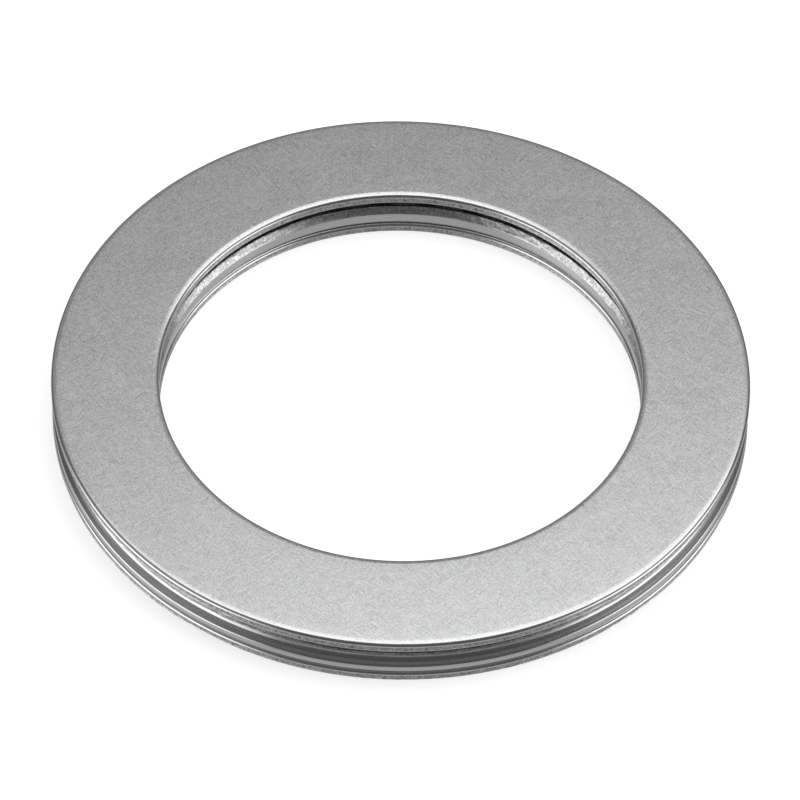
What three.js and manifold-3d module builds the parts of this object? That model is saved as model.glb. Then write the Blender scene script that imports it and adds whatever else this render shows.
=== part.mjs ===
// Axial needle roller bearing, 45 x 65 x 5 mm: two thin washers, a pressed-steel cage and a ring of needles.
// Millimetres, +Z up along the bearing axis; the seat face of the lower washer lies on z = 0.
import * as THREE from "three";
import { mergeVertices } from "three/addons/utils/BufferGeometryUtils.js";
import Module from "manifold-3d";

const wasm = await Module();
wasm.setup();

// Driving dimensions
const BORE_R = 22.5; // bore of both washers
const OUTER_R = 32.5; // outside of both washers
const WASHER_T = 1.0; // washer thickness
const NEEDLE_D = 3.0; // needle diameter, which is also the gap between the washers
const NEEDLE_L = 5.8; // needle length
const NEEDLES = 36;
const PITCH_R = 28.25; // radius to the middle of each needle
const RUNNING_GAP = 0.01; // oil film between a needle and a washer
const POCKET_PLAY = 0.12; // room round a needle in its pocket
const POCKET_END_PLAY = 0.1; // room past each end of a needle
const SLOT_W = 2.4; // opening of a pocket, narrower than a needle so that the needle stays in
const ROLL_R = 0.5; // radius to which the blanking press rolls the upper rims of a washer
const DEBURR = 0.08; // chamfer round the lower face of a washer
const SHEET = 0.55; // cage sheet thickness
const CAGE_BOTTOM = 1.15; // the cage lies low, close over the lower washer
const CAGE_TOP = 3.15;
const CAGE_BORE_R = 22.5;
const BEND_IN = 0.2; // bend where the wall at the bore turns under: its width
const BEND_UP = 0.45; // and its height
const CAGE_OUTER_R = 32.45;
const LIP_TOP = 1.85; // top of the upright lip round the foot of the cage, where the flared skirt ends
const SKIRT_TOP = 2.5; // where the skirt leaves the outer wall
const SHEAR_FROM = 2.45; // above this height the trimmed edge at the bore is broken off rough
const BORE_LEAN = 0.3; // and leans back by this much at the top
const RIM_LEAN = 0.14; // lean of the trimmed edge at the outer wall

const WASHER_SEGMENTS = 108;
const CAGE_SEGMENTS = 72;
const NEEDLE_SEGMENTS = 16;
const POCKET_SEGMENTS = 12;

const BEARING_H = 2 * WASHER_T + NEEDLE_D;
const MID_Z = BEARING_H / 2;

// Materials
const steel = (name, color, roughness) =>
  new THREE.MeshStandardMaterial({ name, color, metalness: 1, roughness });
const washerSteel = steel("washer_steel", 0xb9babb, 0.34);
const cageSteel = steel("cage_steel", 0x8f9194, 0.42);
const needleSteel = steel("needle_steel", 0xc9cbcd, 0.16);

// Rings and needles are profiles of [radius, height] corners turned about the Y axis of three.js.
const turned = (profile, segments) =>
  new THREE.LatheGeometry(
    profile.map(([radius, height]) => new THREE.Vector2(radius, height)),
    segments,
  );

// A closed ring about +Z.
const ring = (profile, segments) =>
  turned([...profile, profile[0]], segments).rotateX(Math.PI / 2);

// three.js geometry to a solid for cutting, and back.
function toSolid(geometry) {
  const bare = geometry.clone();
  bare.deleteAttribute("normal");
  bare.deleteAttribute("uv");
  const welded = mergeVertices(bare);
  return new wasm.Manifold(
    new wasm.Mesh({
      numProp: 3,
      vertProperties: welded.attributes.position.array,
      triVerts: new Uint32Array(welded.index.array),
    }),
  );
}

function toGeometry(solid) {
  const { vertProperties, triVerts } = solid.getMesh();
  const geometry = new THREE.BufferGeometry()
    .setAttribute("position", new THREE.BufferAttribute(vertProperties, 3))
    .setIndex(new THREE.BufferAttribute(triVerts, 1));
  geometry.computeVertexNormals();
  return geometry;
}

function named(name, geometry, material) {
  const mesh = new THREE.Mesh(geometry, material);
  mesh.name = name;
  return mesh;
}

// A thrust washer on z = 0. Its upper rims are rolled over by the blanking press, its lower rims only deburred.
function washerGeometry() {
  const roll = [0, 30, 60, 90].map((degrees) => {
    const angle = THREE.MathUtils.degToRad(degrees);
    return [ROLL_R * (1 - Math.cos(angle)), WASHER_T - ROLL_R * (1 - Math.sin(angle))];
  });
  const profile = [
    [BORE_R + DEBURR, 0],
    [OUTER_R - DEBURR, 0],
    [OUTER_R, DEBURR],
    ...roll.map(([inwards, height]) => [OUTER_R - inwards, height]),
    ...roll.reverse().map(([inwards, height]) => [BORE_R + inwards, height]),
    [BORE_R, DEBURR],
  ];
  return ring(profile, WASHER_SEGMENTS);
}

// The cage section, one bent sheet: wall at the bore, inner foot, raised middle, outer foot, then the outer wall
// with a skirt that flares from it down to an upright lip.
function cageRing() {
  const footTop = CAGE_BOTTOM + SHEET;
  const bridgeUnder = CAGE_TOP - SHEET;
  const wallIn = PITCH_R + NEEDLE_L / 2 + 2 * POCKET_END_PLAY;
  const wallOut = wallIn + SHEET;
  const boreWallOut = CAGE_BORE_R + SHEET;
  const edge = 0.13;
  const midBend = 1 - Math.SQRT1_2; // halfway round a quarter of an ellipse
  const profile = [
    [CAGE_BORE_R + BEND_IN, CAGE_BOTTOM],
    [PITCH_R - 2.25, CAGE_BOTTOM],
    [PITCH_R - 1.25, bridgeUnder],
    [PITCH_R + 1.25, bridgeUnder],
    [PITCH_R + 2.25, CAGE_BOTTOM],
    [CAGE_OUTER_R - edge, CAGE_BOTTOM],
    [CAGE_OUTER_R, CAGE_BOTTOM + edge],
    [CAGE_OUTER_R, LIP_TOP],
    [wallOut, SKIRT_TOP],
    [wallOut - RIM_LEAN, CAGE_TOP],
    [wallIn, CAGE_TOP],
    [wallIn, footTop],
    [PITCH_R + 1.9, footTop],
    [PITCH_R + 0.9, CAGE_TOP],
    [PITCH_R - 0.9, CAGE_TOP],
    [PITCH_R - 1.9, footTop],
    [boreWallOut, footTop],
    [boreWallOut, CAGE_TOP],
    [CAGE_BORE_R + BORE_LEAN, CAGE_TOP],
    [CAGE_BORE_R, SHEAR_FROM],
    [CAGE_BORE_R, CAGE_BOTTOM + BEND_UP],
    [CAGE_BORE_R + midBend * BEND_IN, CAGE_BOTTOM + midBend * BEND_UP],
  ];
  return ring(profile, CAGE_SEGMENTS);
}

// One pocket, lying along +X: a round bed for the needle and a narrower slot right through the sheet.
function pocketCutter() {
  const length = NEEDLE_L + 2 * POCKET_END_PLAY;
  const bedRadius = NEEDLE_D / 2 + POCKET_PLAY;
  const bed = new THREE.CylinderGeometry(bedRadius, bedRadius, length, POCKET_SEGMENTS)
    .rotateZ(Math.PI / 2)
    .translate(PITCH_R, 0, MID_Z);
  const slot = new THREE.BoxGeometry(length, SLOT_W, BEARING_H).translate(PITCH_R, 0, MID_Z);
  return toSolid(bed).add(toSolid(slot));
}

function cageGeometry() {
  const pocket = toGeometry(pocketCutter());
  const turn = (2 * Math.PI) / NEEDLES;
  let solid = toSolid(cageRing());
  for (let i = 0; i < NEEDLES; i += 1) {
    solid = solid.subtract(toSolid(pocket.clone().rotateZ(i * turn)));
  }
  return toGeometry(solid);
}

function needleGeometry() {
  const radius = NEEDLE_D / 2 - RUNNING_GAP;
  const end = NEEDLE_L / 2;
  const edge = 0.2;
  return turned(
    [
      [0, -end],
      [radius - edge, -end],
      [radius, edge - end],
      [radius, end - edge],
      [radius - edge, end],
      [0, end],
    ],
    NEEDLE_SEGMENTS,
  );
}

// The needles lie in a ring like spokes, each in its own turned arm.
function needleRing() {
  const group = new THREE.Group();
  const geometry = needleGeometry();
  for (let i = 0; i < NEEDLES; i += 1) {
    const arm = new THREE.Group();
    arm.rotation.z = (2 * Math.PI * i) / NEEDLES;
    const needle = named(`needle_${String(i + 1).padStart(2, "0")}`, geometry, needleSteel);
    needle.position.set(PITCH_R, 0, MID_Z);
    needle.rotation.z = -Math.PI / 2;
    arm.add(needle);
    group.add(arm);
  }
  return group;
}

const lowerWasher = named("lower_washer", washerGeometry(), washerSteel);
const upperWasher = named("upper_washer", washerGeometry(), washerSteel);
upperWasher.position.z = WASHER_T + NEEDLE_D;

const bearing = new THREE.Group();
bearing.name = "axial_needle_bearing";
bearing.add(lowerWasher, upperWasher, named("cage", cageGeometry(), cageSteel), needleRing());

export default bearing;
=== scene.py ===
"""Axial needle roller bearing on a white table: two lapped washers, a pressed cage and polished needles.
Metres, +Z up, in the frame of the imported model."""

import math

import bpy
import numpy as np
from mathutils import Matrix, Vector


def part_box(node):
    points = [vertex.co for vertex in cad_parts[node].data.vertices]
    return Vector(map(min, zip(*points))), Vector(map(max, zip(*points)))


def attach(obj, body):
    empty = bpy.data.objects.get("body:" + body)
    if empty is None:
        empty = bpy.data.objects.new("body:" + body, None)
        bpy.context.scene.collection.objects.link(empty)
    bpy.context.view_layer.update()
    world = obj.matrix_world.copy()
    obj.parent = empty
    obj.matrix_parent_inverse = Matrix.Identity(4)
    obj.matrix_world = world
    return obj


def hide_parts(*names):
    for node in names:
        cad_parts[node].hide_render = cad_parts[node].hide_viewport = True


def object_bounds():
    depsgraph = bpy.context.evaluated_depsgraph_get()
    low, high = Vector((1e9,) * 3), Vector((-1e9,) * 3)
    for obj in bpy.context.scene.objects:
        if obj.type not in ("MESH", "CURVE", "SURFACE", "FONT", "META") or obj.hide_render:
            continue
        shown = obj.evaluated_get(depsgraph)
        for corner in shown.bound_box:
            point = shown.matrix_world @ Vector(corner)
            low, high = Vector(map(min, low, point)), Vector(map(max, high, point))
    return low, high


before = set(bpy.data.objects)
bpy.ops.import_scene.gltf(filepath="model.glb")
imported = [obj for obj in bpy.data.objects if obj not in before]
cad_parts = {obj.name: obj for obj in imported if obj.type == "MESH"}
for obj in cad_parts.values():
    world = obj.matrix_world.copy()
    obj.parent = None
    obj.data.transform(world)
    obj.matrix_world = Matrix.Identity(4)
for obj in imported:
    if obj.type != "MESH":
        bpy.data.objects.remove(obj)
cad_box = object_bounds()

MM = 0.001

# Camera, looking down on the upper face from the front through a long lens
LENS_MM = 284.2
CAMERA_ELEVATION = math.radians(48.66)
CAMERA_ROLL = math.radians(1.115)
CAMERA_DISTANCE = 587.2 * MM
AIM_BELOW = 2.53 * MM  # the bearing sits a little above the middle of the frame
AIM_LEFT = 0.08 * MM

# Around the ring
WASHER_STEPS = 960
CAGE_STEPS = 720
NEEDLE_STEPS = 40

# Edges that bend more than this look sharp
SHARP_ANGLE = math.radians(40)
CAGE_SHARP_ANGLE = math.radians(35)

# Washer edges, as the blanking press leaves them
DISH_IN, DISH_DROP = 0.35 * MM, 0.045 * MM  # gentle fall of the face towards its rims
ROLL_R = 0.34 * MM  # radius of the rolled rim that follows
BURNISHED = 0.03 * MM  # smooth land under the roll
BURR_IN, BURR_UP = 0.04 * MM, 0.13 * MM  # smooth rounding of the lower edges
SHEAR_DEPTH = 0.014 * MM  # height of the broken grain on a sheared wall

# Cage sheet, as in the CAD section
SHEET = 0.55 * MM
WALL_GAP = 0.2 * MM  # between the needle ends and the outer wall
SLOPE_TOP, SLOPE_FOOT = 1.25 * MM, 2.25 * MM  # ends of the slopes, from the pitch circle, on the underside
SLOPE_SHIFT = 0.35 * MM  # how much nearer the pitch circle they end on the upper side
LIP_TOP, LIP_BEND = 1.85 * MM, 0.32 * MM  # upright lip at the rim
NECK_OUT, NECK_UP = 0.2 * MM, 0.26 * MM  # where the lip turns into the skirt
SKIRT_TOP = 2.5 * MM  # smooth skirt, below the trimmed edge
SHEAR_FROM = 2.45 * MM  # height where the trimmed edge starts at the bore
BORE_LEAN, RIM_LEAN = 0.3 * MM, 0.26 * MM  # how far the trimmed edges draw back
BEND_IN, BEND_UP = 0.2 * MM, 0.45 * MM  # rounding under the bore wall
FACET_START, FACET_END = -0.13 * MM, 0.02 * MM  # facet under the torn rim, in heights from SKIRT_TOP
FACET_BACK = 0.055 * MM  # how far it draws back
TORN_UP = 0.08 * MM  # from SKIRT_TOP up to the torn grain
TORN_BEND = 0.22 * MM  # from the top of the rim down to the bend in its torn wall
TIGHT, EDGE, SOFT, BEND = 0.04 * MM, 0.06 * MM, 0.1 * MM, 0.3 * MM  # corner radii of the section
CAGE_SHEAR_DEPTH = 0.02 * MM  # height of the torn grain
LONGEST_STRETCH = 0.16 * MM  # of the section, so that the grain has points to move

# Pockets in the cage
POCKET_PLAY = 0.13 * MM  # round each needle
POCKET_END = 0.1 * MM  # beyond each end of a needle
SLOT_W = 2.4 * MM
SLOT_REACH = 2.2 * MM  # half the height of the slot

NEEDLE_CROWN = 0.3 * MM  # rounding of the needle ends


# ---------------------------------------------------------------- measures from the frame


def ring_size(node):
    """Bore radius, outside radius, lowest and highest point of a CAD ring."""
    low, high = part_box(node)
    points = np.array([v.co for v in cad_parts[node].data.vertices])
    return np.hypot(points[:, 0], points[:, 1]).min(), high.x, low.z, high.z


needle_nodes = sorted(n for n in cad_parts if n.startswith("needle_"))
first_low, first_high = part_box(needle_nodes[0])
NEEDLE_LENGTH = first_high.x - first_low.x
NEEDLE_RADIUS = (first_high.z - first_low.z) / 2
PITCH_RADIUS = (first_high.x + first_low.x) / 2
MID_Z = (first_high.z + first_low.z) / 2
BEARING_TOP = cad_box[1].z


# ---------------------------------------------------------------- shapes


def arc(centre, radii, start, stop, steps):
    """Points of an ellipse quarter or less, angles in degrees from +r towards +z."""
    angles = np.radians(np.linspace(start, stop, steps + 1))
    return [(centre[0] + radii[0] * math.cos(a), centre[1] + radii[1] * math.sin(a)) for a in angles]


def rolled_rim(edge, top, inwards):
    """Two stretches of outline: up from the wall round the rolled corner, then the gentle fall of the face.
    inwards is -1 or 1, the direction of the face from the edge."""
    fall = math.atan(2 * DISH_DROP / DISH_IN)  # slope where the gentle fall meets the corner
    centre_r, centre_z = edge + inwards * ROLL_R, top - DISH_DROP - ROLL_R * math.cos(fall)
    corner = [(edge, centre_z - BURNISHED)]
    for tilt in np.linspace(math.pi / 2, fall, 14):
        corner.append((centre_r - inwards * ROLL_R * math.sin(tilt), centre_z + ROLL_R * math.cos(tilt)))
    start = corner[-1][0]
    dish = []
    for t in np.linspace(0, 1, 9)[1:]:
        dish.append((start + inwards * DISH_IN * t, top - DISH_DROP * (1 - t) ** 2))
    return corner, dish


def line(start, end, steps):
    """Points from start up to, but not including, end."""
    return [tuple(np.array(start) + (np.array(end) - start) * i / steps) for i in range(steps)]


def filleted(corners, steps=5):
    """A closed outline from (r, z, radius) corners, with each corner rounded."""
    most = 0.45  # of a side, for the rounding at one end of it
    outline = []
    for i, (r, z, radius) in enumerate(corners):
        here = np.array((r, z))
        before = np.array(corners[i - 1][:2]) - here
        after = np.array(corners[(i + 1) % len(corners)][:2]) - here
        before_length, after_length = np.linalg.norm(before), np.linalg.norm(after)
        before, after = before / before_length, after / after_length
        half = math.acos(np.clip(before @ after, -1, 1)) / 2
        reach = min(radius / math.tan(half), most * before_length, most * after_length)
        if reach < 1e-9:
            outline.append((r, z))
            continue
        for t in np.linspace(0, 1, steps + 1):
            point = here + before * reach * (1 - t) ** 2 + after * reach * t**2
            outline.append(tuple(point))
    return outline


def soft_noise(shape, smooth, seed):
    """Random numbers from -1 to 1 on a grid that closes on itself, smoothed over so many cells each way."""
    grid = np.random.RandomState(seed).normal(size=shape)
    waves = [np.fft.fftfreq(n) for n in shape]
    around, across = (np.exp(-2 * (np.pi * wave * cells) ** 2) for wave, cells in zip(waves, smooth))
    grid = np.fft.ifft2(np.fft.fft2(grid) * around[:, None] * across[None, :]).real
    return np.clip(grid / (2 * grid.std()), -1, 1)


def torn_relief(shape, fine, coarse, seed, sunk):
    """Relief of torn metal on a grid: fine grain on coarse waves, sunk below the clean surface."""
    grain = soft_noise(shape, fine, seed)
    waves = soft_noise(shape, coarse, seed + 1)
    return 0.7 * grain + 0.5 * waves - sunk


def mesh_object(name, vertices, faces, materials, face_materials=None):
    """A smooth mesh in the scene, with its sharp edges kept.
    face_materials gives, for each face, the place of its material in materials."""
    mesh = bpy.data.meshes.new(name)
    mesh.from_pydata(vertices, [], faces)
    for material in materials:
        mesh.materials.append(material)
    if face_materials is not None:
        mesh.polygons.foreach_set("material_index", np.asarray(face_materials, np.int32))
    mesh.shade_smooth()
    mesh.set_sharp_from_angle(angle=SHARP_ANGLE)
    mesh.update()
    piece = bpy.data.objects.new(name, mesh)
    bpy.context.scene.collection.objects.link(piece)
    return piece


def ring_piece(name, outline, steps, materials, kinds, push):
    """An anticlockwise outline of (r, z) points turned once round Z.
    kinds gives the material of each stretch, and push moves each point along its normal."""
    points = np.array(outline)
    count = len(points)
    along = np.roll(points, -1, 0) - np.roll(points, 1, 0)
    normals = np.stack([along[:, 1], -along[:, 0]], 1)
    normals /= np.linalg.norm(normals, axis=1)[:, None]
    angles = np.linspace(0, 2 * math.pi, steps, endpoint=False)[:, None]
    radius = points[None, :, 0] + push * normals[None, :, 0]
    height = points[None, :, 1] + push * normals[None, :, 1]
    vertices = np.stack([radius * np.cos(angles), radius * np.sin(angles), height], -1).reshape(-1, 3)
    here = np.arange(steps * count).reshape(steps, count)
    turned = np.roll(here, -1, 0)
    faces = np.stack([here, turned, np.roll(turned, -1, 1), np.roll(here, -1, 1)], -1).reshape(-1, 4)
    return mesh_object(name, vertices.tolist(), faces.tolist(), materials, np.tile(kinds, steps))


# ---------------------------------------------------------------- materials

STEEL_TINT = (0.995, 1.0, 1.005)  # shares of red, green and blue


class NodeTree:
    """A node tree under construction. Each method adds nodes, and most return an output socket."""

    def __init__(self, tree):
        self.tree = tree

    def node(self, kind, **settings):
        made = self.tree.nodes.new(kind)
        for key, value in settings.items():
            setattr(made, key, value)
        return made

    def feed(self, socket, value):
        if isinstance(value, bpy.types.NodeSocket):
            self.tree.links.new(value, socket)
        else:
            socket.default_value = value

    def sums(self, operation, a, b=0.0, c=0.0):
        """One step of arithmetic on numbers or sockets."""
        made = self.node("ShaderNodeMath", operation=operation)
        for socket, value in zip(made.inputs, (a, b, c)):
            self.feed(socket, value)
        return made.outputs[0]

    def ramp(self, value, *stops):
        """A curve through (position, value) stops."""
        made = self.node("ShaderNodeValToRGB")
        self.feed(made.inputs[0], value)
        elements = made.color_ramp.elements
        while len(elements) < len(stops):
            elements.new(0.5)
        for element, (position, grey) in zip(elements, stops):
            element.position = position
            element.color = (grey, grey, grey, 1)
        return made.outputs[0]


class Steel(NodeTree):
    """A metal material under construction."""

    def __init__(self, name):
        self.material = bpy.data.materials.new(name)
        self.material.use_nodes = True
        super().__init__(self.material.node_tree)
        self.shader = self.tree.nodes["Principled BSDF"]
        self.shader.inputs["Metallic"].default_value = 1.0
        self.place = self.node("ShaderNodeTexCoord").outputs["Object"]

    def spread(self, value, low, high):
        """Carries 0..1 to low..high."""
        return self.sums("MULTIPLY_ADD", value, high - low, low)

    def stretched(self, size, turn=0.0):
        """Coordinates in which a cell of a scale 1 texture is size (x, y, z) metres, turned about Z."""
        made = self.node("ShaderNodeMapping", vector_type="TEXTURE")
        self.feed(made.inputs["Vector"], self.place)
        made.inputs["Rotation"].default_value = (0, 0, turn)
        made.inputs["Scale"].default_value = size
        return made.outputs[0]

    def noise(self, where, detail=2.0, roughness=0.5):
        """Soft noise around 0.5, one cell for each step of 1 in where."""
        made = self.node("ShaderNodeTexNoise")
        self.feed(made.inputs["Vector"], where)
        for key, value in (("Scale", 1.0), ("Detail", detail), ("Roughness", roughness)):
            made.inputs[key].default_value = value
        return made.outputs[0]

    def polar(self, centre, across, along):
        """Coordinates round an upright line through centre. A cell is across metres outwards, and along
        metres round it at the distance of the bearing's axis."""
        moved = self.node("ShaderNodeVectorMath", operation="SUBTRACT")
        self.feed(moved.inputs[0], self.place)
        moved.inputs[1].default_value = (*centre, 0)
        parts = self.node("ShaderNodeSeparateXYZ")
        self.feed(parts.inputs[0], moved.outputs[0])
        squares = self.sums("MULTIPLY", parts.outputs[0], parts.outputs[0])
        far = self.sums("SQRT", self.sums("MULTIPLY_ADD", parts.outputs[1], parts.outputs[1], squares))
        angle = self.sums("ARCTAN2", parts.outputs[1], parts.outputs[0])
        made = self.node("ShaderNodeCombineXYZ")
        self.feed(made.inputs[0], self.sums("DIVIDE", far, across))
        self.feed(made.inputs[1], self.sums("MULTIPLY", angle, math.hypot(*centre) / along))
        self.feed(made.inputs[2], self.sums("DIVIDE", parts.outputs[2], across))
        return made.outputs[0]

    def blend(self, share, a, b):
        """a where share is 0, b where it is 1."""
        return self.sums("MULTIPLY_ADD", share, self.sums("SUBTRACT", b, a), a)

    def patches(self, size, shift):
        """0 or 1 in patches of about size millimetres, with soft edges. Each shift gives other patches."""
        where = self.node("ShaderNodeVectorMath", operation="ADD")
        self.feed(where.inputs[0], self.stretched((size * MM,) * 3))
        where.inputs[1].default_value = (shift, shift, shift)
        return self.ramp(self.noise(where.outputs[0], detail=1.0), (0.44, 0.0), (0.56, 1.0))

    def average(self, *values):
        """The mean, in which a value given twice counts double."""
        total = values[0]
        for value in values[1:]:
            total = self.sums("ADD", total, value)
        return self.sums("DIVIDE", total, float(len(values)))

    def tint(self, grey):
        """A near-neutral colour of the given greyness."""
        made = self.node("ShaderNodeCombineColor")
        for socket, share in zip(made.inputs, STEEL_TINT):
            self.feed(socket, self.sums("MULTIPLY", grey, share))
        return made.outputs[0]

    def finish(self, grey, roughness, height, depth):
        """Connects the surface. The bump is depth metres deep where height goes from 0 to 1."""
        bump = self.node("ShaderNodeBump")
        bump.inputs["Distance"].default_value = depth
        self.feed(bump.inputs["Height"], height)
        self.feed(self.shader.inputs["Base Color"], self.tint(grey))
        self.feed(self.shader.inputs["Roughness"], roughness)
        self.feed(self.shader.inputs["Normal"], bump.outputs[0])
        return self.material


def lapped_steel():
    """Washer faces: lapping strokes that change direction from patch to patch, faint arcs, satin clouds."""
    steel = Steel("lapped_steel")

    def strokes(turn, length, width):
        """Lines so many millimetres long and wide, turned by so many degrees."""
        where = steel.stretched((length * MM, width * MM, 1.0 * MM), math.radians(turn))
        return steel.noise(where, detail=2.0, roughness=0.6)

    one_way = steel.blend(steel.patches(2.6, 0.0), strokes(38, 2.2, 0.1), strokes(62, 1.8, 0.1))
    other_way = steel.blend(steel.patches(2.1, 0.4), strokes(128, 2.0, 0.1), strokes(151, 1.5, 0.11))
    hatch = steel.blend(steel.patches(1.3, 0.8), one_way, other_way)
    arcs = [
        steel.noise(steel.polar(centre, 0.16 * MM, 7 * MM), detail=2.0, roughness=0.6)
        for centre in ((0.075, 0.03), (-0.06, 0.085), (0.01, -0.11))
    ]
    arc_lines = steel.average(*arcs)
    grains = steel.noise(steel.stretched((0.13 * MM,) * 3), detail=2.0, roughness=0.7)
    clouds = steel.noise(steel.stretched((5 * MM,) * 3), detail=3.0, roughness=0.6)
    scratch = steel.noise(steel.polar((0.05, -0.06), 0.3 * MM, 14 * MM), detail=0.0)
    scratches = steel.ramp(scratch, (0.0, 0.0), (0.79, 0.0), (0.8, 1.0), (0.81, 0.0))
    texture = steel.average(hatch, hatch, hatch, arc_lines, grains, grains, grains)
    grey = steel.ramp(texture, (0.36, 0.4), (0.5, 0.58), (0.64, 0.78))
    grey = steel.sums("MULTIPLY_ADD", clouds, 0.06, steel.sums("ADD", grey, -0.03))
    grey = steel.sums("MULTIPLY_ADD", scratches, 0.05, grey)
    roughness = steel.sums("ADD", steel.spread(texture, 0.19, 0.37), steel.spread(clouds, -0.02, 0.02))
    return steel.finish(grey, roughness, texture, 4e-6)


def rolled_steel():
    """Rims where the press rolled the edge over: smooth, with a few nicks."""
    steel = Steel("rolled_steel")
    fine = steel.noise(steel.stretched((0.1 * MM,) * 3), detail=2.0, roughness=0.6)
    nicks = steel.noise(steel.stretched((0.9 * MM, 0.9 * MM, 0.2 * MM)), detail=3.0, roughness=0.7)
    grey = steel.sums("ADD", steel.spread(fine, 0.6, 0.68), steel.spread(nicks, -0.05, 0.05))
    roughness = steel.sums("ADD", steel.spread(fine, 0.18, 0.26), steel.spread(nicks, -0.04, 0.06))
    return steel.finish(grey, roughness, nicks, 2.5e-6)


def sheared_steel():
    """The broken wall of a blanked disc: upright tears and pits."""
    steel = Steel("sheared_steel")
    tears = steel.noise(steel.stretched((0.2 * MM, 0.2 * MM, 0.5 * MM)), detail=3.0, roughness=0.65)
    pits = steel.noise(steel.stretched((0.22 * MM, 0.22 * MM, 0.18 * MM)), detail=2.0, roughness=0.6)
    texture = steel.average(tears, pits)
    grey = steel.ramp(texture, (0.36, 0.14), (0.48, 0.42), (0.6, 0.58))
    roughness = steel.spread(pits, 0.55, 0.4)
    return steel.finish(grey, roughness, texture, 8e-6)


def drawn_steel():
    """Cage walls: smooth drawn sheet, with faint lines round the ring."""
    steel = Steel("drawn_steel")
    lines = steel.noise(steel.polar((0.0, 0.0), 0.19 * MM, 1.0), detail=2.0, roughness=0.6)
    fine = steel.noise(steel.stretched((0.12 * MM, 0.12 * MM, 0.06 * MM)), detail=2.0, roughness=0.6)
    clouds = steel.noise(steel.stretched((2.5 * MM,) * 3), detail=2.0)
    streaks = steel.average(lines, lines, fine)
    grey = steel.sums("ADD", steel.spread(streaks, 0.32, 0.78), steel.spread(clouds, -0.03, 0.03))
    roughness = steel.sums("ADD", steel.spread(fine, 0.2, 0.32), steel.spread(clouds, -0.03, 0.03))
    return steel.finish(grey, roughness, streaks, 4e-6)


def torn_steel(name, shade):
    """Cage edges trimmed by shearing: bright and dark crumbs. A shade below 1 darkens them with painted
    shade.
    """
    steel = Steel(name)
    crumbs = steel.noise(steel.stretched((0.16 * MM,) * 3), detail=3.0, roughness=0.6)
    tears = steel.noise(steel.stretched((0.18 * MM, 0.18 * MM, 0.6 * MM)), detail=2.0)
    texture = steel.average(crumbs, crumbs, tears)
    grey = steel.ramp(texture, (0.36, 0.26 * shade), (0.48, 0.45 * shade), (0.62, 0.7 * shade))
    roughness = steel.spread(crumbs, 0.45, 0.25)
    return steel.finish(grey, roughness, texture, 1.4e-5)


def polished_steel():
    """Needles: ground and tumbled bright, with a fine even grain."""
    steel = Steel("polished_steel")
    fine = steel.noise(steel.stretched((0.08 * MM,) * 3), detail=2.0)
    clouds = steel.noise(steel.stretched((1.2 * MM,) * 3), detail=2.0)
    grey = steel.spread(clouds, 0.6, 0.72)
    roughness = steel.spread(fine, 0.08, 0.17)
    return steel.finish(grey, roughness, fine, 3e-7)


LAPPED, ROLLED, SHEARED = lapped_steel(), rolled_steel(), sheared_steel()
DRAWN, TORN, POLISHED = drawn_steel(), torn_steel("torn_steel", 1.0), polished_steel()
# Painted shade: the torn outer rim of the cage is made darker to stand for the shadow under the upper
# washer's overhang.
TORN_PAINTED_SHADE = torn_steel("torn_steel_painted_shade", 0.55)


# ---------------------------------------------------------------- washers


def washer(node, seed):
    """A washer with lapped faces, rolled rims and broken walls."""
    bore, outside, bottom, top = ring_size(node)
    outline, kinds = [], []

    def add(points, kind):
        outline.extend(points)
        kinds.extend([kind] * len(points))

    flat, rolled, sheared = 0, 1, 2
    outer_corner, outer_dish = rolled_rim(outside, top, -1)
    bore_corner, bore_dish = rolled_rim(bore, top, 1)
    add(line((bore + BURR_IN, bottom), (outside - BURR_IN, bottom), 8), flat)
    add(arc((outside - BURR_IN, bottom + BURR_UP), (BURR_IN, BURR_UP), -90, 0, 5)[:-1], rolled)
    add(line((outside, bottom + BURR_UP), outer_corner[0], 6), sheared)
    add(outer_corner, rolled)
    add(outer_dish[:-1], flat)
    add(line(outer_dish[-1], bore_dish[-1], 8), flat)
    add(bore_dish[::-1], flat)
    add(bore_corner[:0:-1], rolled)
    add(line(bore_corner[0], (bore, bottom + BURR_UP), 6), sheared)
    add(arc((bore + BURR_IN, bottom + BURR_UP), (BURR_IN, BURR_UP), 180, 270, 5)[:-1], rolled)
    broken = np.array([1.0 if kind == sheared else 0.0 for kind in kinds])
    relief = torn_relief((WASHER_STEPS, len(kinds)), (0.7, 1.0), (9.0, 2.0), seed, sunk=1.2)
    push = relief * SHEAR_DEPTH * broken
    piece = ring_piece(f"{node}_lapped", outline, WASHER_STEPS, [LAPPED, ROLLED, SHEARED], kinds, push)
    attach(piece, node)
    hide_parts(node)


washer("lower_washer", seed=11)
washer("upper_washer", seed=23)


# ---------------------------------------------------------------- cage


def rim_edge(wall_out, top):
    """The trimmed outer edge as (r, z, radius) corners: a smooth facet, then the torn wall drawing back."""
    return [
        (wall_out, SKIRT_TOP + FACET_START, 0.8 * SOFT),
        (wall_out - FACET_BACK, SKIRT_TOP + FACET_END, 1.5 * SOFT),
        (wall_out - 2 * FACET_BACK, top - TORN_BEND, 2 * SOFT),
        (wall_out - RIM_LEAN, top, TIGHT),
    ]


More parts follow.
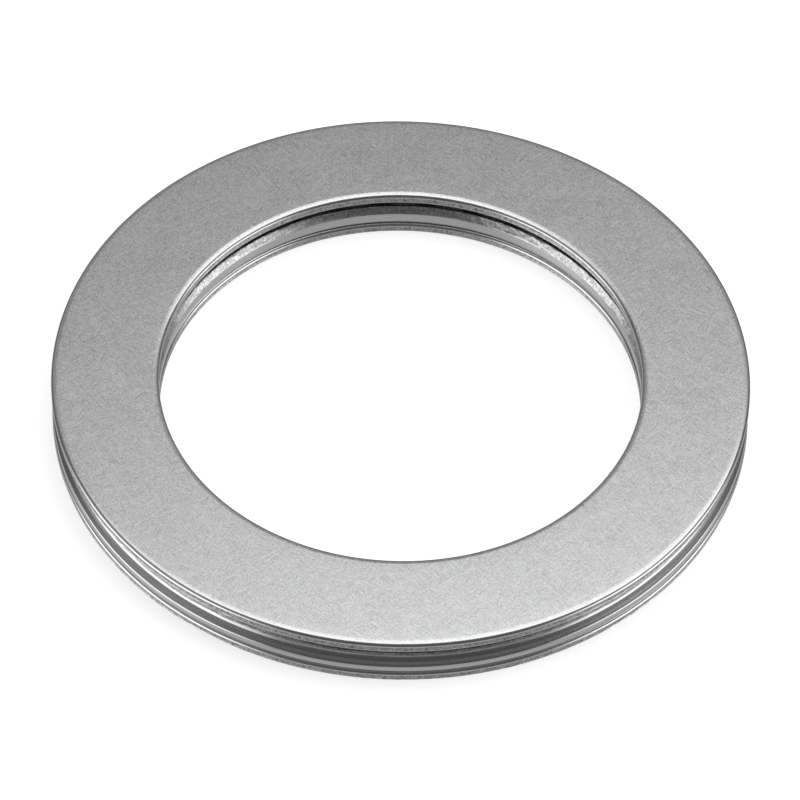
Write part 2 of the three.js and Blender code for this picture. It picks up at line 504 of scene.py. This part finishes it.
def cage_outline():
    """The section of the bent sheet, as (r, z) points."""
    bore, outside, bottom, top = ring_size("cage")
    foot = bottom + SHEET
    wall_in = PITCH_RADIUS + NEEDLE_LENGTH / 2 + WALL_GAP
    wall_out = wall_in + SHEET
    middle = PITCH_RADIUS
    rise_foot, rise_top = SLOPE_FOOT - SLOPE_SHIFT, SLOPE_TOP - SLOPE_SHIFT
    under_bend = arc((bore + BEND_IN, bottom + BEND_UP), (BEND_IN, BEND_UP), 180, 270, 8)
    return filleted(
        [
            *((r, z, 0) for r, z in under_bend),
            (middle - SLOPE_FOOT, bottom, BEND),
            (middle - SLOPE_TOP, top - SHEET, BEND),
            (middle + SLOPE_TOP, top - SHEET, BEND),
            (middle + SLOPE_FOOT, bottom, BEND),
            (outside, bottom, EDGE),
            (outside, LIP_TOP, LIP_BEND),
            (wall_out + NECK_OUT, LIP_TOP + NECK_UP, BEND),
            *rim_edge(wall_out, top),
            (wall_in, top, TIGHT),
            (wall_in, foot, BEND),
            (middle + rise_foot, foot, BEND),
            (middle + rise_top, top, BEND),
            (middle - rise_top, top, BEND),
            (middle - rise_foot, foot, BEND),
            (bore + SHEET, foot, BEND),
            (bore + SHEET, top, TIGHT),
            (bore + BORE_LEAN, top, SOFT),
            (bore, SHEAR_FROM, 2 * BEND),
            (bore, foot, 2 * BEND),
        ]
    )


def refined(outline, longest):
    """Splits the outline's long straight stretches."""
    fine = []
    for i, point in enumerate(outline):
        after = outline[(i + 1) % len(outline)]
        steps = max(1, math.ceil(math.dist(point, after) / longest))
        fine.extend(line(point, after, steps))
    return fine


def pocket_cutter():
    """All pockets in one mesh: a round bed for each needle, opened by a straight slot."""
    bed = NEEDLE_RADIUS + POCKET_PLAY
    half_slot = SLOT_W / 2
    open_angle = math.asin(half_slot / bed)
    outline = [(half_slot, -SLOT_REACH), (half_slot, -bed * math.cos(open_angle))]
    for a in np.linspace(-math.pi / 2 + open_angle, math.pi / 2 - open_angle, 13)[1:-1]:
        outline.append((bed * math.cos(a), bed * math.sin(a)))
    outline += [(half_slot, bed * math.cos(open_angle)), (half_slot, SLOT_REACH)]
    outline += [(-y, z) for y, z in reversed(outline)]
    half_length = NEEDLE_LENGTH / 2 + POCKET_END
    ends = PITCH_RADIUS - half_length, PITCH_RADIUS + half_length
    count = len(outline)
    vertices, faces = [], []
    for i in range(len(needle_nodes)):
        turn = Matrix.Rotation(2 * math.pi * i / len(needle_nodes), 3, "Z")
        first = len(vertices)
        vertices += [turn @ Vector((x, y, MID_Z + z)) for x in ends for y, z in outline]
        faces.append([first + k for k in reversed(range(count))])
        faces.append([first + count + k for k in range(count)])
        for k in range(count):
            after = (k + 1) % count
            faces.append([first + k, first + after, first + count + after, first + count + k])
    return mesh_object("cutter", [tuple(v) for v in vertices], faces, [TORN])


def cage():
    """The pressed sheet with its pockets. Both trimmed edges are torn; the outer one is darker with painted
    shade, for the shadow under the upper washer's overhang.
    """
    outline = refined(cage_outline(), LONGEST_STRETCH)
    points = np.array(outline)
    radius, height = points.T
    bore = ring_size("cage")[0]
    at_bore = radius < bore + BORE_LEAN + 0.02 * MM
    at_rim = radius > PITCH_RADIUS + NEEDLE_LENGTH / 2 + WALL_GAP + 0.05 * MM
    torn = (at_bore & (height > SHEAR_FROM)) | (at_rim & (height > SKIRT_TOP + TORN_UP))
    relief = torn_relief((CAGE_STEPS, len(points)), (0.8, 1.0), (6.0, 3.0), seed=5, sunk=0.8)
    push = relief * CAGE_SHEAR_DEPTH * torn
    # The torn outer rim takes the copy darkened with painted shade.
    kinds = torn + (torn & at_rim).astype(int)
    piece = ring_piece("cage_pressed", outline, CAGE_STEPS, [DRAWN, TORN, TORN_PAINTED_SHADE], kinds, push)
    cutter = pocket_cutter()
    cut = piece.modifiers.new("pockets", "BOOLEAN")
    cut.object = cutter
    cut.operation = "DIFFERENCE"
    cut.solver = "EXACT"
    depsgraph = bpy.context.evaluated_depsgraph_get()
    finished = bpy.data.meshes.new_from_object(piece.evaluated_get(depsgraph))
    piece.modifiers.clear()
    piece.data = finished
    bpy.data.objects.remove(cutter)
    finished.shade_smooth()
    finished.set_sharp_from_angle(angle=CAGE_SHARP_ANGLE)
    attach(piece, "cage")
    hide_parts("cage")


cage()


# ---------------------------------------------------------------- needles


def needle(node, index):
    """One needle with crowned ends, lying like a spoke."""
    half, radius, crown = NEEDLE_LENGTH / 2, NEEDLE_RADIUS, NEEDLE_CROWN
    outline = arc((radius - crown, crown - half), (crown, crown), -90, 0, 5)
    outline += arc((radius - crown, half - crown), (crown, crown), 0, 90, 5)
    points = np.array(outline)
    angles = np.linspace(0, 2 * math.pi, NEEDLE_STEPS, endpoint=False)
    spoke = 2 * math.pi * index / len(needle_nodes)
    place = Matrix.Rotation(spoke, 4, "Z") @ Matrix.Translation((PITCH_RADIUS, 0, MID_Z))
    vertices = [place @ Vector((x, r * math.cos(a), r * math.sin(a))) for a in angles for r, x in points]
    vertices += [place @ Vector((-half, 0, 0)), place @ Vector((half, 0, 0))]
    count = len(points)
    first_end, last_end = len(vertices) - 2, len(vertices) - 1
    faces = []
    for i in range(NEEDLE_STEPS):
        here, after = i * count, (i + 1) % NEEDLE_STEPS * count
        faces.append([first_end, after, here])
        faces.append([last_end, here + count - 1, after + count - 1])
        for k in range(count - 1):
            faces.append([here + k, after + k, after + k + 1, here + k + 1])
    piece = mesh_object(f"{node}_polished", [tuple(v) for v in vertices], faces, [POLISHED])
    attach(piece, node)
    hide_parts(node)


for index, node in enumerate(needle_nodes):
    needle(node, index)


# ---------------------------------------------------------------- table, light and camera

FLOOR_GLOW = 0.6
FLOOR_SIZE = 4.0
FLOOR_GAP = 0.01 * MM  # under the bearing
LAMP_HEIGHT = 0.45
STRIP_BRIGHTNESS = 2.2
BACK_WALL_BRIGHTNESS = 0.2


def white_table():
    """A white table that glows a little, seen only from above. The steel reflects the studio instead."""
    half = FLOOR_SIZE / 2
    corners = [(-half, -half, 0), (half, -half, 0), (half, half, 0), (-half, half, 0)]
    material = bpy.data.materials.new("white_table")
    material.use_nodes = True
    nodes, links = material.node_tree.nodes, material.node_tree.links
    nodes.clear()
    paper = nodes.new("ShaderNodeBsdfDiffuse")
    paper.inputs["Color"].default_value = (0.9, 0.9, 0.9, 1)
    glow = nodes.new("ShaderNodeEmission")
    glow.inputs["Color"].default_value = (1, 1, 1, 1)
    glow.inputs["Strength"].default_value = FLOOR_GLOW
    both = nodes.new("ShaderNodeAddShader")
    clear = nodes.new("ShaderNodeBsdfTransparent")
    side = nodes.new("ShaderNodeNewGeometry")
    choose = nodes.new("ShaderNodeMixShader")
    output = nodes.new("ShaderNodeOutputMaterial")
    links.new(paper.outputs[0], both.inputs[0])
    links.new(glow.outputs[0], both.inputs[1])
    links.new(side.outputs["Backfacing"], choose.inputs[0])
    links.new(both.outputs[0], choose.inputs[1])
    links.new(clear.outputs[0], choose.inputs[2])
    links.new(choose.outputs[0], output.inputs["Surface"])
    table = mesh_object("white_table", corners, [(0, 1, 2, 3)], [material])
    table.location.z = -FLOOR_GAP
    table.visible_glossy = False
    table.visible_diffuse = False


def softbox(name, x, y, width, depth, radiance):
    """A level rectangular light over the table whose surface has the given radiance."""
    light = bpy.data.lights.new(name, "AREA")
    light.shape = "RECTANGLE"
    light.size, light.size_y = width, depth
    light.energy = radiance * math.pi * width * depth
    lamp = bpy.data.objects.new(name, light)
    lamp.location = x, y, LAMP_HEIGHT
    bpy.context.scene.collection.objects.link(lamp)


class Sky(NodeTree):
    """The studio round the object, as brightness by direction."""

    def __init__(self):
        world = bpy.data.worlds.new("studio")
        bpy.context.scene.world = world
        world.use_nodes = True
        super().__init__(world.node_tree)
        self.background = self.tree.nodes["Background"]
        self.background.inputs["Color"].default_value = (1, 1, 1, 1)
        split = self.node("ShaderNodeSeparateXYZ")
        self.feed(split.inputs[0], self.node("ShaderNodeTexCoord").outputs["Generated"])
        self.x, self.y, self.z = split.outputs

    def fade(self, value, start, stop):
        """0 at start, 1 at stop."""
        made = self.node("ShaderNodeMapRange", interpolation_type="SMOOTHSTEP")
        self.feed(made.inputs["Value"], value)
        made.inputs["From Min"].default_value = start
        made.inputs["From Max"].default_value = stop
        return made.outputs[0]

    def by_height(self, *stops):
        """Brightness through (height of the direction, brightness) stops."""
        height = self.node("ShaderNodeMapRange")
        self.feed(height.inputs["Value"], self.z)
        height.inputs["From Min"].default_value = -1
        return self.ramp(height.outputs[0], *(((z + 1) / 2, grey) for z, grey in stops))


def studio():
    """Two soft lights overhead, a pale far wall, and a low bright strip on the left and on the right.
    The room is dark at eye level and paler below, where the white table lies."""
    softbox("overhead", x=0.13, y=0.055, width=0.74, depth=0.39, radiance=1.45)
    softbox("overhead_far", x=0.34, y=0.295, width=0.8, depth=0.09, radiance=1.58)
    sky = Sky()
    below = (-1, 0.3), (-0.8, 0.6), (-0.6, 0.55), (-0.45, 0.34), (-0.25, 0.13)
    above = (0, 0.08), (0.3, 0.1), (0.6, 0.12), (1, 0.2)
    room = sky.by_height(*below, *above)
    back_wall = sky.sums("MULTIPLY", sky.fade(sky.y, 0.35, 0.6), sky.fade(sky.z, 0.0, 0.3))
    room = sky.sums("ADD", room, sky.sums("MULTIPLY", back_wall, BACK_WALL_BRIGHTNESS))
    low_strip = (-0.9, 0.0), (-0.75, 0.12), (-0.6, 0.35), (-0.4, 1.0), (-0.1, 1.0)
    faint_above = (0.08, 0.08), (0.7, 0.14), (0.85, 0.0)
    strip = sky.by_height(*low_strip, *faint_above)
    left = sky.fade(sky.x, -0.5, -0.75)
    right = sky.fade(sky.x, 0.62, 0.85)
    sides = sky.sums("MULTIPLY", sky.sums("ADD", left, right), sky.fade(sky.y, 0.38, 0.05))
    strips = sky.sums("MULTIPLY", sky.sums("MULTIPLY", strip, sides), STRIP_BRIGHTNESS)
    sky.feed(sky.background.inputs["Strength"], sky.sums("ADD", room, strips))


def camera():
    """The camera looks past the middle of the upper face by AIM_BELOW and AIM_LEFT."""
    lens = bpy.data.cameras.new("camera")
    lens.lens = LENS_MM
    lens.sensor_width = 36.0
    lens.clip_start, lens.clip_end = 0.01, 10.0
    level_right = Vector((1, 0, 0))
    level_up = Vector((0, math.sin(CAMERA_ELEVATION), math.cos(CAMERA_ELEVATION)))
    back = Vector((0, -math.cos(CAMERA_ELEVATION), math.sin(CAMERA_ELEVATION)))
    right = level_right * math.cos(CAMERA_ROLL) + level_up * math.sin(CAMERA_ROLL)
    up = level_up * math.cos(CAMERA_ROLL) - level_right * math.sin(CAMERA_ROLL)
    face_centre = Vector((0, 0, BEARING_TOP))
    place = face_centre + back * CAMERA_DISTANCE
    aim = face_centre - up * AIM_BELOW - right * AIM_LEFT
    back = (place - aim).normalized()
    right = up.cross(back).normalized()
    up = back.cross(right)
    holder = bpy.data.objects.new("camera", lens)
    axes = Matrix((right, up, back)).transposed().to_4x4()
    holder.matrix_world = Matrix.Translation(place) @ axes
    bpy.context.scene.collection.objects.link(holder)
    bpy.context.scene.camera = holder


white_table()
studio()
camera()
bpy.context.scene.view_settings.view_transform = "Standard"
